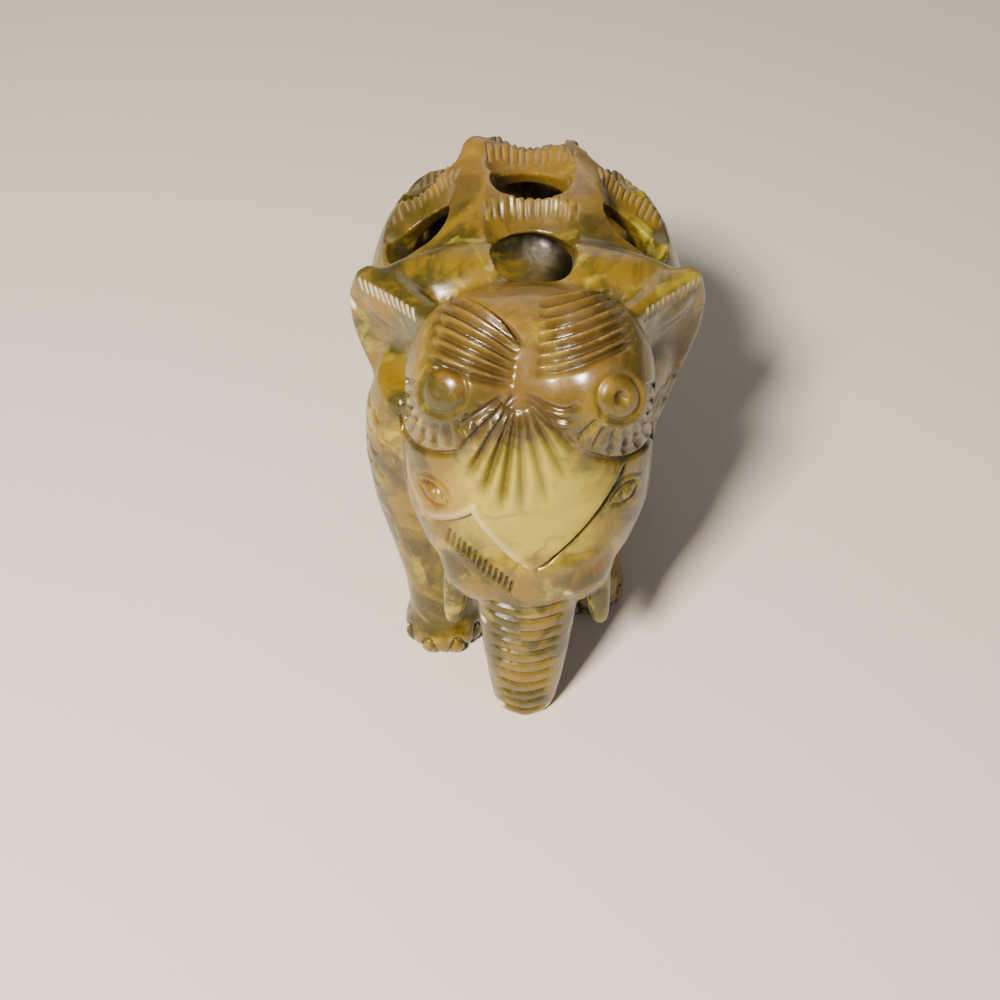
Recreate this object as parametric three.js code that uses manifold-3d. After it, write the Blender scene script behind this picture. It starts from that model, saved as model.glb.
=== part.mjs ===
// A small standing elephant cut from one block of soapstone, with a hollowed, pierced back.
// Millimetres. +Z is up, the head looks towards -Y, and the feet stand on Z = 0.

import * as THREE from 'three';
import { mergeVertices } from 'three/addons/utils/BufferGeometryUtils.js';
import Module from 'manifold-3d';

// The barrel: an egg-shaped body and the hollow inside it, which leaves a wall of even thickness.
const BARREL = { centre: [0, 5.5, 32], radii: [18.2, 24, 15.8] };
const WALL = 3.8;

// Pierced cells of the back. Columns run from neck to rump and their rows are staggered, as fish scales are.
// turn: angle about the body's long axis from the top. first, step: angles along the body, from the neck end.
// A scoop is the dished scale behind a hole: the first rows have one, the last rows are plain.
const COLUMNS = [
  { turn: 2, first: 65, step: 28, count: 4, length: 6.2, width: 8.8, scoops: 3 },
  { turn: 42, first: 84, step: 28, count: 3, length: 6.2, width: 9.4, scoops: 2 },
  { turn: -42, first: 84, step: 28, count: 3, length: 6.2, width: 9.4, scoops: 2 },
  { turn: 84, first: 98, step: 27, count: 2, length: 6.0, width: 8.6, scoops: 1 },
  { turn: -84, first: 98, step: 27, count: 2, length: 6.0, width: 8.6, scoops: 1 },
  { turn: 112, first: 148, step: 0, count: 1, length: 5.6, width: 5.8, scoops: 0 },
  { turn: -112, first: 148, step: 0, count: 1, length: 5.6, width: 5.8, scoops: 0 },
];
const HOLE = { depth: 15, rise: 5, arch: 0.5, blunt: 0.78 };
const SCOOP = { length: 6.0, depth: 3.8, lift: 1.4, shift: 5.2, spread: 1.4, tilt: 20 };

// Head, measured level by level: height, front, back and half width.
const HEAD = [
  { z: 19.0, front: -28.0, back: -15.0, half: 7.4 },
  { z: 21.0, front: -29.0, back: -11.0, half: 9.8 },
  { z: 24.0, front: -29.6, back: -9.0, half: 11.8 },
  { z: 28.0, front: -29.2, back: -7.5, half: 12.7 },
  { z: 33.0, front: -28.2, back: -6.5, half: 12.7 },
  { z: 38.0, front: -27.0, back: -6.0, half: 12.2 },
  { z: 43.0, front: -25.6, back: -6.5, half: 11.4 },
  { z: 46.5, front: -23.6, back: -9.0, half: 9.8 },
  { z: 48.6, front: -21.0, back: -12.5, half: 7.2 },
  { z: 49.6, front: -18.6, back: -15.2, half: 4.0 },
];
const BROW = { at: [5.0, -18.0, 41.8], radii: [6.9, 8.0, 8.2] };
const NECK = { at: [0, -6.5, 36.5], radii: [12.2, 8.2, 9.8] };
const YOKE = { at: [0, -5.2, 40.6], radii: [15.4, 5.0, 5.2] };
const CHEEK = { at: [5.2, -23.8, 23.0], radii: [5.0, 5.4, 5.4] };

// Trunk: from under the brow to the ground, ringed by shallow grooves.
const TRUNK = {
  top: 27.0,
  halfTop: 8.0,
  half: 5.6,
  halfTip: 3.2,
  front: -31.3,
  lean: 1.4,
  deep: 7.4,
  deepTip: 5.0,
  rings: 11,
  ringFrom: 2.0,
  ringTo: 20.5,
  ringDepth: 0.32,
};

// Ears: a leaf swept back from the side of the head, hollow in front.
const EAR = {
  root: [10.2, -13.5],
  sweep: 47,
  high: 46.0,
  low: 22.5,
  reach: 13.0,
  thick: 2.3,
  hollow: 1.7,
};

// Legs: where each sole stands, and how the limb grows from ankle to body.
const LEGS = [
  { foot: [-9.8, -17.6], top: [-10.6, -10.5], girth: 7.6 },
  { foot: [8.0, -12.0], top: [8.0, -6.5], girth: 7.4 },
  { foot: [-9.6, 25.0], top: [-8.8, 20.5], girth: 8.6 },
  { foot: [9.4, 19.0], top: [8.8, 19.5], girth: 8.6 },
];
const LIMB = [
  { z: 9.0, share: 0.08 },
  { z: 14.0, share: 0.45 },
  { z: 19.0, share: 0.86 },
  { z: 25.0, share: 1.0 },
  { z: 31.0, share: 0.86 },
  { z: 36.0, share: 0.35 },
];
const FOOT = { sole: 4.7, rim: 5.0, ankle: 4.1, toe: 0.5 };

const TUSK = { root: [7.2, -24.8, 23.0], tip: [8.0, -27.2, 14.6], radius: 1.6, tipRadius: 0.8 };
const RUMP = { at: [0, 18.8, 26.0], radii: [9.5, 10.6, 9.5] };
const TAIL = { from: [0.3, 27.6, 37.5], to: [-6.0, 28.7, 11.0], swell: 1.7, radius: 1.3, tuft: 1.9 };

const ROUND = 18;
const wasm = await Module();
wasm.setup();

function clean(geometry) {
  geometry.deleteAttribute('normal');
  geometry.deleteAttribute('uv');
  return mergeVertices(geometry, 1e-4);
}

function solid(geometry) {
  const merged = clean(geometry);
  const mesh = new wasm.Mesh({
    numProp: 3,
    vertProperties: new Float32Array(merged.attributes.position.array),
    triVerts: new Uint32Array(merged.index.array),
  });
  return new wasm.Manifold(mesh);
}

function ellipsoid(centre, radii, around = 24, along = 14) {
  const ball = new THREE.SphereGeometry(1, around, along);
  ball.scale(radii[0], radii[1], radii[2]);
  ball.translate(centre[0], centre[1], centre[2]);
  return solid(ball);
}

// A closed skin over rings of points that all have the same count, its two ends filled by flat fans.
function skin(rings) {
  const count = rings[0].length;
  const points = [];
  const faces = [];
  for (const ring of rings) {
    for (const point of ring) points.push(point.x, point.y, point.z);
  }
  for (let level = 0; level < rings.length - 1; level += 1) {
    for (let i = 0; i < count; i += 1) {
      const a = level * count + i;
      const b = level * count + ((i + 1) % count);
      faces.push(a, b, b + count, a, b + count, a + count);
    }
  }
  const ends = [
    { ring: rings[0], base: 0, flip: true },
    { ring: rings[rings.length - 1], base: (rings.length - 1) * count, flip: false },
  ];
  for (const end of ends) {
    const middle = new THREE.Vector3();
    for (const point of end.ring) middle.add(point);
    middle.divideScalar(count);
    const hub = points.length / 3;
    points.push(middle.x, middle.y, middle.z);
    for (let i = 0; i < count; i += 1) {
      const a = end.base + i;
      const b = end.base + ((i + 1) % count);
      if (end.flip) faces.push(hub, b, a);
      else faces.push(hub, a, b);
    }
  }
  const geometry = new THREE.BufferGeometry();
  geometry.setAttribute('position', new THREE.Float32BufferAttribute(points, 3));
  geometry.setIndex(faces);
  return geometry;
}

// An oval ring in a level plane, turning anticlockwise seen from above, so that rising rings face outwards.
function oval(x, y, z, halfX, halfY, count = ROUND) {
  const ring = [];
  for (let i = 0; i < count; i += 1) {
    const angle = (2 * Math.PI * i) / count;
    ring.push(new THREE.Vector3(x + halfX * Math.cos(angle), y + halfY * Math.sin(angle), z));
  }
  return ring;
}

function head() {
  const rings = HEAD.map((level) => {
    const middle = (level.front + level.back) / 2;
    return oval(0, middle, level.z, level.half, (level.back - level.front) / 2);
  });
  let form = solid(skin(rings));
  for (const side of [-1, 1]) {
    form = form.add(ellipsoid([side * BROW.at[0], BROW.at[1], BROW.at[2]], BROW.radii, 20, 12));
    form = form.add(ellipsoid([side * CHEEK.at[0], CHEEK.at[1], CHEEK.at[2]], CHEEK.radii, 14, 8));
  }
  return form.add(ellipsoid(NECK.at, NECK.radii, 20, 10)).add(ellipsoid(YOKE.at, YOKE.radii, 24, 8));
}

function trunk() {
  const pitch = (TRUNK.ringTo - TRUNK.ringFrom) / TRUNK.rings;
  const levels = [0, TRUNK.ringFrom / 2];
  for (let i = 0; i < TRUNK.rings; i += 1) {
    levels.push(TRUNK.ringFrom + i * pitch, TRUNK.ringFrom + (i + 0.5) * pitch);
  }
  levels.push(TRUNK.ringTo, TRUNK.top);
  const rings = levels.map((z, i) => {
    const rise = Math.min(z / TRUNK.ringTo, 1);
    const crown = Math.max(z - TRUNK.ringTo, 0) / (TRUNK.top - TRUNK.ringTo);
    const ringed = z >= TRUNK.ringFrom && z <= TRUNK.ringTo;
    const groove = ringed && i % 2 === 0 ? TRUNK.ringDepth : 0;
    const shaft = THREE.MathUtils.lerp(TRUNK.halfTip, TRUNK.half, Math.pow(rise, 0.7));
    const halfX = shaft + crown * (TRUNK.halfTop - TRUNK.half);
    const deep = THREE.MathUtils.lerp(TRUNK.deepTip, TRUNK.deep, rise);
    const front = TRUNK.front + TRUNK.lean * rise * rise;
    return oval(0, front + deep / 2, z, halfX - groove, deep / 2 - groove, 14);
  });
  return solid(skin(rings));
}

// A leaf of stone. Its front is a shallow dish and its back is bowed the same way, one wall thickness behind.
function ear(side) {
  const across = 6;
  const down = 8;
  const sweep = THREE.MathUtils.degToRad(EAR.sweep);
  const out = new THREE.Vector3(side * Math.cos(sweep), Math.sin(sweep), 0);
  const facing = new THREE.Vector3(side * Math.sin(sweep), -Math.cos(sweep), 0);
  const place = (u, v, layer) => {
    const height = THREE.MathUtils.lerp(EAR.high, EAR.low, v);
    const flare = 0.86 + 0.14 * Math.sin(Math.PI * Math.min(v / 0.5, 1));
    const outline = flare * (1 - 0.55 * THREE.MathUtils.smoothstep(v, 0.42, 1.0));
    const reach = EAR.reach * outline * u;
    const droop = 1.5 * u;
    const dish = EAR.hollow * Math.sin(Math.PI * u) * Math.sin(Math.PI * v);
    const point = new THREE.Vector3(side * EAR.root[0], EAR.root[1], height - droop);
    point.addScaledVector(out, reach);
    point.addScaledVector(facing, -dish - layer * EAR.thick);
    return point;
  };
  const rings = [];
  for (let j = 0; j <= down; j += 1) {
    const v = j / down;
    const ring = [];
    for (let i = 0; i <= across; i += 1) ring.push(place(i / across, v, 0));
    for (let i = across; i >= 0; i -= 1) ring.push(place(i / across, v, 1));
    if (side > 0) ring.reverse();
    rings.push(ring);
  }
  return solid(skin(rings));
}

function leg(plan) {
  const levels = [
    { z: 0, radius: FOOT.sole, forward: 0 },
    { z: 1.6, radius: FOOT.rim, forward: FOOT.toe },
    { z: 4.2, radius: FOOT.ankle, forward: 0 },
  ];
  for (const step of LIMB) {
    levels.push({ z: step.z, radius: THREE.MathUtils.lerp(FOOT.ankle, plan.girth, step.share), forward: 0 });
  }
  const rings = levels.map((level) => {
    const rise = THREE.MathUtils.smoothstep(level.z, 3, 24);
    const x = THREE.MathUtils.lerp(plan.foot[0], plan.top[0], rise);
    const y = THREE.MathUtils.lerp(plan.foot[1], plan.top[1], rise) - level.forward;
    return oval(x, y, level.z, level.radius * 0.94, level.radius, 16);
  });
  return solid(skin(rings));
}

// A round bar through the points of a path, its rings level and its radius given along it.
function bar(path, radius, steps, count) {
  const rings = [];
  for (let i = 0; i <= steps; i += 1) {
    const t = i / steps;
    const point = path(t);
    rings.push(oval(point.x, point.y, point.z, radius(t), radius(t), count));
  }
  return solid(skin(rings));
}

function tusk(side) {
  const tip = new THREE.Vector3(side * TUSK.tip[0], TUSK.tip[1], TUSK.tip[2]);
  const root = new THREE.Vector3(side * TUSK.root[0], TUSK.root[1], TUSK.root[2]);
  const path = (t) => tip.clone().lerp(root, t);
  const radius = (t) => THREE.MathUtils.lerp(TUSK.tipRadius, TUSK.radius, Math.sqrt(t));
  return bar(path, radius, 5, 10);
}

function tail() {
  const low = new THREE.Vector3(...TAIL.to);
  const high = new THREE.Vector3(...TAIL.from);
  const path = (t) => {
    const point = low.clone().lerp(high, t);
    point.y += TAIL.swell * Math.sin(Math.PI * Math.min(t * 1.15, 1));
    return point;
  };
  const radius = (t) => {
    const tuft = Math.exp(-Math.pow((t - 0.14) / 0.1, 2));
    return TAIL.radius * (0.6 + 0.5 * t) + (TAIL.tuft - TAIL.radius) * tuft;
  };
  return bar(path, radius, 14, 10);
}

// The frame of one cell on the barrel's skin: its point, the way across, towards the rump, and outwards.
function seat(turn, along) {
  const round = THREE.MathUtils.degToRad(turn);
  const run = THREE.MathUtils.degToRad(along);
  const [rx, ry, rz] = BARREL.radii;
  const unit = new THREE.Vector3(
    Math.sin(run) * Math.sin(round),
    -Math.cos(run),
    Math.sin(run) * Math.cos(round),
  );
  const point = new THREE.Vector3(unit.x * rx, unit.y * ry, unit.z * rz);
  point.add(new THREE.Vector3(...BARREL.centre));
  const out = new THREE.Vector3(unit.x / rx, unit.y / ry, unit.z / rz).normalize();
  const across = new THREE.Vector3(Math.cos(round), 0, -Math.sin(round));
  across.addScaledVector(out, -across.dot(out)).normalize();
  const rear = new THREE.Vector3().crossVectors(out, across).normalize();
  return new THREE.Matrix4().makeBasis(across, rear, out).setPosition(point);
}

// A hole, arched at the rump end and blunt at the neck end, and the scooped scale behind it, which is deepest
// at the hole's edge.
function cell(column, row) {
  const place = seat(column.turn, column.first + row * column.step);
  const half = column.width / 2;
  const outline = new THREE.Shape();
  outline.moveTo(-half * HOLE.blunt, -column.length / 2);
  outline.lineTo(half * HOLE.blunt, -column.length / 2);
  outline.absellipse(0, 0, half, column.length / 2, -HOLE.arch, Math.PI + HOLE.arch, false, 0);
  outline.closePath();
  const prism = new THREE.ExtrudeGeometry(outline, {
    depth: HOLE.depth,
    bevelEnabled: false,
    curveSegments: 6,
  });
  prism.translate(0, 0, HOLE.rise - HOLE.depth);
  prism.applyMatrix4(place);
  if (row >= column.scoops) return solid(prism);
  const scoop = new THREE.SphereGeometry(1, 12, 8);
  scoop.rotateX(Math.PI / 2);
  scoop.scale(half + SCOOP.spread, SCOOP.length, SCOOP.depth);
  scoop.rotateX(THREE.MathUtils.degToRad(SCOOP.tilt));
  scoop.translate(0, SCOOP.shift, SCOOP.lift);
  scoop.applyMatrix4(place);
  return solid(prism).add(solid(scoop));
}

function elephant() {
  let form = ellipsoid(BARREL.centre, BARREL.radii, 32, 18);
  const hollow = ellipsoid(BARREL.centre, BARREL.radii.map((radius) => radius - WALL), 20, 12);
  form = form.add(ellipsoid(RUMP.at, RUMP.radii, 20, 12));
  for (const plan of LEGS) form = form.add(leg(plan));
  form = form.add(head());
  form = form.subtract(hollow);
  for (const column of COLUMNS) {
    for (let row = 0; row < column.count; row += 1) form = form.subtract(cell(column, row));
  }
  form = form.add(trunk()).add(tail());
  for (const side of [-1, 1]) form = form.add(ear(side)).add(tusk(side));
  const { vertProperties, triVerts } = form.getMesh();
  const geometry = new THREE.BufferGeometry();
  geometry.setAttribute('position', new THREE.BufferAttribute(new Float32Array(vertProperties), 3));
  geometry.setIndex(new THREE.BufferAttribute(new Uint32Array(triVerts), 1));
  return geometry;
}

const soapstone = new THREE.MeshStandardMaterial({ color: 0xa38f4e, roughness: 0.32, metalness: 0 });
const stone = elephant();
stone.computeBoundingBox();
const middle = stone.boundingBox.getCenter(new THREE.Vector3());
stone.translate(-middle.x, -middle.y, -stone.boundingBox.min.z);

const figure = new THREE.Mesh(stone, soapstone);
figure.name = 'stone_elephant';

const group = new THREE.Group();
group.add(figure);

export default group;
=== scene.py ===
"""A small soapstone elephant with a pierced back, made the way a carver makes it.

The block is roughed into body, head and limbs, then hollowed, pierced in staggered scales, engraved and
polished.
"""
import math
import random

import bpy
import numpy as np
from mathutils import Matrix, Vector


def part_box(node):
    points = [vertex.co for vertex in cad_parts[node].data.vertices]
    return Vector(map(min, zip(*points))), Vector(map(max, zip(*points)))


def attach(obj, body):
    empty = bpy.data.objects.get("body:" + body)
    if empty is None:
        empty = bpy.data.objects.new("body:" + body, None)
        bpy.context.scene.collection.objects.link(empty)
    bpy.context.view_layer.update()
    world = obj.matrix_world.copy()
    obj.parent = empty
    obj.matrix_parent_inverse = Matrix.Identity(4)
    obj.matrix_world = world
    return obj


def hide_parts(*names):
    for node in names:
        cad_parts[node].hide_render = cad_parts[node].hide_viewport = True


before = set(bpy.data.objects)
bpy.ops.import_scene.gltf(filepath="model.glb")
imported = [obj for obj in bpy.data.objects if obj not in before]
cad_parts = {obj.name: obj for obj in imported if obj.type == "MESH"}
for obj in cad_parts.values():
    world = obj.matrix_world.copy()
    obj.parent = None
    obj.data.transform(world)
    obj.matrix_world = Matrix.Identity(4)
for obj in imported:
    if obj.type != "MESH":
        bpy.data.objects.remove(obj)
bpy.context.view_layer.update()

bl_info = {
    "name": "Pierced Stone Elephant",
    "version": (1, 0, 0),
    "blender": (4, 5, 0),
    "location": "View3D > Sidebar > Elephant",
    "description": "Builds a small standing elephant cut from one block of soapstone",
    "category": "Add Mesh",
}

NODE = "stone_elephant"
STONE_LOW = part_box(NODE)[0]

# The stone is shaped in millimetres on the bench and brought down to metres when it is finished.
MM = 0.001
NOSE = (STONE_LOW / MM).y

# The barrel of the body and the cells pierced through it. Angles are in degrees: turn goes round the body's
# long axis from the top, first and step run along it from the neck. The last rows have no scooped scale.
BARREL_AT = Vector((0.0, 5.65, 32.0))
COLUMNS = (
    {"turn": 2, "first": 65, "step": 28, "count": 4, "length": 6.2, "width": 8.8, "scoops": 3},
    {"turn": 42, "first": 84, "step": 28, "count": 3, "length": 6.2, "width": 9.4, "scoops": 2},
    {"turn": -42, "first": 84, "step": 28, "count": 3, "length": 6.2, "width": 9.4, "scoops": 2},
    {"turn": 84, "first": 98, "step": 27, "count": 2, "length": 6.0, "width": 8.6, "scoops": 1},
    {"turn": -84, "first": 98, "step": 27, "count": 2, "length": 6.0, "width": 8.6, "scoops": 1},
    {"turn": 112, "first": 148, "step": 0, "count": 1, "length": 5.6, "width": 5.8, "scoops": 0},
    {"turn": -112, "first": 148, "step": 0, "count": 1, "length": 5.6, "width": 5.8, "scoops": 0},
)
SCOOP = {"length": 6.0, "depth": 3.8, "lift": 1.4, "shift": 5.2, "spread": 1.5, "tilt": 20}
# How far the drill leans towards the rump, in degrees.
DRILL_SLANT = 26
# How deep the darkest engraved stroke is cut, in millimetres.
DEEP_CUT = 0.45

# The camera stands back from the trunk and to one side of it, in metres, and looks down from CAMERA_UP.
CAMERA_SIDE = -0.0029
CAMERA_BACK = 0.0649
CAMERA_UP = 0.117
CAMERA_TILT = 40.0
CAMERA_LENS = 40.3

# Each lamp: name, place, width, power and colour. They all point at the same spot on the stone.
LAMP_AIM = (0, 0, 0.03)
LAMPS = (
    ("key", (-0.13, -0.20, 0.28), 0.06, 3.8, (1.0, 0.88, 0.70)),
    ("fill", (0.35, -0.25, 0.30), 0.40, 0.25, (1.0, 0.95, 0.90)),
    ("back", (0.05, 0.40, 0.25), 0.30, 0.3, (1.0, 0.92, 0.82)),
)

# Head, level by level from the chin: height, front, back, half width.
HEAD = (
    (19.0, -27.8, -15.0, 6.6),
    (21.0, -28.8, -11.0, 9.2),
    (24.0, -29.4, -9.0, 11.5),
    (28.0, -29.0, -7.5, 12.7),
    (33.0, -28.0, -6.5, 12.7),
    (38.0, -26.8, -6.0, 12.2),
    (43.0, -25.4, -6.5, 11.4),
    (46.5, -23.4, -9.0, 9.8),
    (48.6, -20.8, -12.5, 7.2),
    (49.6, -18.4, -15.2, 4.0),
)
LEGS = (
    {"foot": (-9.8, -17.45), "top": (-10.6, -10.35), "girth": 7.6},
    {"foot": (8.0, -11.85), "top": (8.0, -6.35), "girth": 7.4},
    {"foot": (-9.6, 25.15), "top": (-8.8, 20.65), "girth": 8.6},
    {"foot": (9.4, 19.15), "top": (8.8, 19.65), "girth": 8.6},
)
LIMB = ((9.0, 0.08), (14.0, 0.45), (19.0, 0.86), (25.0, 1.0), (31.0, 0.86), (36.0, 0.35))
ANKLE = 4.1

# Small white bruises: where each one is and its radius, in metres.
CHIPS = (
    ((0.0040, -0.0286, 0.0226), 0.0007),
    ((-0.0050, -0.0287, 0.0165), 0.0007),
    ((-0.0030, -0.0303, 0.0016), 0.0008),
    ((0.0030, -0.0303, 0.0012), 0.0006),
    ((-0.0186, -0.0045, 0.0400), 0.0008),
    ((-0.0060, -0.0280, 0.0120), 0.0006),
)


class ElephantSizes(bpy.types.PropertyGroup):
    """Sizes that a carver would change."""

    barrel_half: bpy.props.FloatVectorProperty(
        name="Barrel radii", description="Half width, half length and half height of the barrel",
        size=3, default=(0.0182, 0.0240, 0.0158), subtype="TRANSLATION", unit="LENGTH")
    wall: bpy.props.FloatProperty(
        name="Wall", description="Thickness left between the hollow and the skin",
        default=0.0038, unit="LENGTH")
    blend: bpy.props.IntProperty(
        name="Blending", description="Passes that round the joins of limbs and body", default=9)
    grain: bpy.props.FloatProperty(
        name="Finest cut", description="Size of the finest facet on the stone",
        default=0.00025, unit="LENGTH")
    ear_reach: bpy.props.FloatProperty(
        name="Ear reach", description="From the side of the head to the ear's edge",
        default=0.0130, unit="LENGTH")
    ear_thick: bpy.props.FloatProperty(
        name="Ear thickness", description="Thickness of the ear's leaf", default=0.0023, unit="LENGTH")
    rings: bpy.props.IntProperty(
        name="Trunk rings", description="Grooves across the front of the trunk", default=11)
    hatch_pitch: bpy.props.FloatProperty(
        name="Hatch pitch", description="Distance between the strokes on each scale's rim",
        default=0.00080, unit="LENGTH")
    most_faces: bpy.props.IntProperty(
        name="Most faces", description="Triangles in the finished stone", default=190000)


class ElephantColours(bpy.types.PropertyGroup):
    """Colours of the stone and of the stage."""

    honey: bpy.props.FloatVectorProperty(
        name="Honey", description="Main body of the stone", size=4, subtype="COLOR",
        default=(0.152, 0.098, 0.005, 1.0))
    olive: bpy.props.FloatVectorProperty(
        name="Olive", description="Greener clouds", size=4, subtype="COLOR",
        default=(0.042, 0.035, 0.003, 1.0))
    rose: bpy.props.FloatVectorProperty(
        name="Rose brown", description="Pinkish brown clouds", size=4, subtype="COLOR",
        default=(0.190, 0.102, 0.018, 1.0))
    lime: bpy.props.FloatVectorProperty(
        name="Lime", description="Pale green cloud on the face", size=4, subtype="COLOR",
        default=(0.430, 0.365, 0.034, 1.0))
    amber: bpy.props.FloatVectorProperty(
        name="Amber", description="Iron-stained spots", size=4, subtype="COLOR",
        default=(0.200, 0.085, 0.006, 1.0))
    # The vein colour is also mixed into the engraved strokes and, as painted shade, into the hollows.
    vein_and_shade_tint: bpy.props.FloatVectorProperty(
        name="Vein", description="Grey-brown veins", size=4, subtype="COLOR",
        default=(0.034, 0.021, 0.008, 1.0))
    chip: bpy.props.FloatVectorProperty(
        name="Chip", description="Bruised and chipped edges", size=4, subtype="COLOR",
        default=(0.780, 0.680, 0.440, 1.0))
    floor: bpy.props.FloatVectorProperty(
        name="Floor", description="Pale studio floor", size=4, subtype="COLOR",
        default=(0.620, 0.590, 0.550, 1.0))


# ---------------------------------------------------------------------------------------------- hand tools


def deselect():
    if bpy.context.object and bpy.context.object.mode != "OBJECT":
        bpy.ops.object.mode_set(mode="OBJECT")
    bpy.ops.object.select_all(action="DESELECT")


def pick(obj):
    deselect()
    obj.select_set(True)
    bpy.context.view_layer.objects.active = obj


def apply_modifier(obj, kind, **settings):
    pick(obj)
    modifier = obj.modifiers.new(kind.title(), kind)
    for key, value in settings.items():
        setattr(modifier, key, value)
    bpy.ops.object.modifier_apply(modifier=modifier.name)


def ball(name, centre, radii, segments=64, rings=40):
    """A ball stretched to an egg."""
    deselect()
    bpy.ops.mesh.primitive_uv_sphere_add(segments=segments, ring_count=rings, radius=1, location=(0, 0, 0))
    obj = bpy.context.object
    obj.name = name
    bpy.ops.object.mode_set(mode="EDIT")
    bpy.ops.mesh.select_all(action="SELECT")
    bpy.ops.transform.resize(value=tuple(radii), center_override=(0, 0, 0))
    bpy.ops.transform.translate(value=tuple(centre))
    bpy.ops.object.mode_set(mode="OBJECT")
    return obj


def pull(name, rings, sides=40):
    """A limb drawn up ring by ring: each ring is x, y, z, half width, half depth."""
    deselect()
    bpy.ops.mesh.primitive_circle_add(vertices=sides, radius=1, fill_type="NGON", location=(0, 0, 0))
    obj = bpy.context.object
    obj.name = name
    x, y, z, half_x, half_y = rings[0]
    bpy.ops.object.mode_set(mode="EDIT")
    bpy.ops.mesh.select_all(action="SELECT")
    bpy.ops.transform.resize(value=(half_x, half_y, 1), center_override=(0, 0, 0))
    bpy.ops.transform.translate(value=(x, y, z))
    for before, ring in zip(rings, rings[1:]):
        step = tuple(ring[k] - before[k] for k in range(3))
        grow = (ring[3] / before[3], ring[4] / before[4], 1)
        bpy.ops.mesh.extrude_region_move(TRANSFORM_OT_translate={"value": step})
        bpy.ops.transform.resize(value=grow, center_override=tuple(ring[:3]))
    bpy.ops.mesh.select_all(action="SELECT")
    bpy.ops.mesh.normals_make_consistent(inside=False)
    bpy.ops.object.mode_set(mode="OBJECT")
    return obj


def combine(stone, tool, operation):
    """Adds a lump to the stone or takes one out of it, and throws the tool away."""
    apply_modifier(stone, "BOOLEAN", object=tool, operation=operation, solver="MANIFOLD")
    bpy.data.objects.remove(tool, do_unlink=True)


def reface(stone, size):
    apply_modifier(stone, "REMESH", mode="VOXEL", voxel_size=size, adaptivity=0.0)


def refine(stone):
    """Halves the facets where the carver works closest: the face, the trunk and the fronts of the ears."""
    mesh = stone.data
    centres = np.empty(len(mesh.polygons) * 3)
    normals = np.empty(len(mesh.polygons) * 3)
    mesh.polygons.foreach_get("center", centres)
    mesh.polygons.foreach_get("normal", normals)
    centres, normals = centres.reshape(-1, 3), normals.reshape(-1, 3)
    facing = normals @ np.array((0, -0.64, 0.77)) > -0.1
    chosen = facing & (centres[:, 1] < -10.0) & (centres[:, 2] > 17.0)
    chosen |= (centres[:, 1] < NOSE + 4.5) & (normals[:, 1] < 0.1)
    chosen |= (normals[:, 2] > 0.25) & (centres[:, 2] > 38.0) & (centres[:, 1] > 0.0)
    pick(stone)
    bpy.ops.object.mode_set(mode="EDIT")
    bpy.ops.mesh.select_mode(type="FACE")
    bpy.ops.mesh.select_all(action="DESELECT")
    bpy.ops.object.mode_set(mode="OBJECT")
    mesh.polygons.foreach_set("select", chosen)
    bpy.ops.object.mode_set(mode="EDIT")
    bpy.ops.mesh.subdivide(number_cuts=1)
    bpy.ops.object.mode_set(mode="OBJECT")


def lerp(a, b, t):
    return a + (b - a) * t


def ease(t):
    t = min(max(t, 0.0), 1.0)
    return t * t * (3 - 2 * t)


# ------------------------------------------------------------------------------------------- rough shapes


def barrel_radii():
    return Vector(bpy.context.scene.elephant_sizes.barrel_half) / MM


def head_form():
    rings = []
    for low, high in zip(HEAD, HEAD[1:]):
        for step in (0.0, 0.5):
            z, front, back, half = (lerp(a, b, step) for a, b in zip(low, high))
            rings.append((0, (front + back) / 2, z, half, (back - front) / 2))
    z, front, back, half = HEAD[-1]
    rings.append((0, (front + back) / 2, z, half, (back - front) / 2))
    return pull("head", rings, 48)


def trunk_form():
    rings = []
    for step in range(19):
        z = 27.0 * step / 18
        rise = min(z / 20.5, 1.0)
        crown = max(z - 20.5, 0.0) / 6.5
        half = lerp(3.2, 5.6, rise ** 0.7) + 2.4 * crown
        deep = lerp(5.0, 7.4, rise)
        front = NOSE + 0.05 + 1.4 * rise * rise
        rings.append((0, front + deep / 2, z, half, deep / 2))
    return pull("trunk", rings, 40)


def leg_form(plan):
    levels = [(0.0, 4.7, 0.0), (0.5, 4.95, 0.2), (1.6, 5.0, 0.5), (2.8, 4.7, 0.4), (4.2, ANKLE, 0.0)]
    for z, share in LIMB:
        levels.append((z, lerp(ANKLE, plan["girth"], share), 0.0))
    rings = []
    for z, radius, forward in levels:
        rise = ease((z - 3.0) / 21.0)
        x = lerp(plan["foot"][0], plan["top"][0], rise)
        y = lerp(plan["foot"][1], plan["top"][1], rise) - forward
        rings.append((x, y, z, radius * 0.94, radius))
    return pull("leg", rings, 32)


def tusk_form(side):
    rings = []
    for step in range(9):
        t = step / 8
        tip = (8.0 * side, -27.05, 14.6)
        root = (7.2 * side, -24.65, 23.0)
        radius = lerp(0.8, 1.6, math.sqrt(t))
        rings.append((*(lerp(a, b, t) for a, b in zip(tip, root)), radius, radius))
    return pull("tusk", rings, 24)


def tail_form():
    rings = []
    for step in range(31):
        t = step / 30
        x, y, z = (lerp(a, b, t) for a, b in zip((-6.0, 28.85, 11.0), (0.3, 26.6, 35.6)))
        y += 1.7 * math.sin(math.pi * min(t * 1.15, 1))
        tuft = math.exp(-(((t - 0.14) / 0.1) ** 2))
        radius = 1.3 * (0.6 + 0.5 * t) + 0.6 * tuft
        rings.append((x, y, z, radius, radius))
    return pull("tail", rings, 20)


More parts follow.
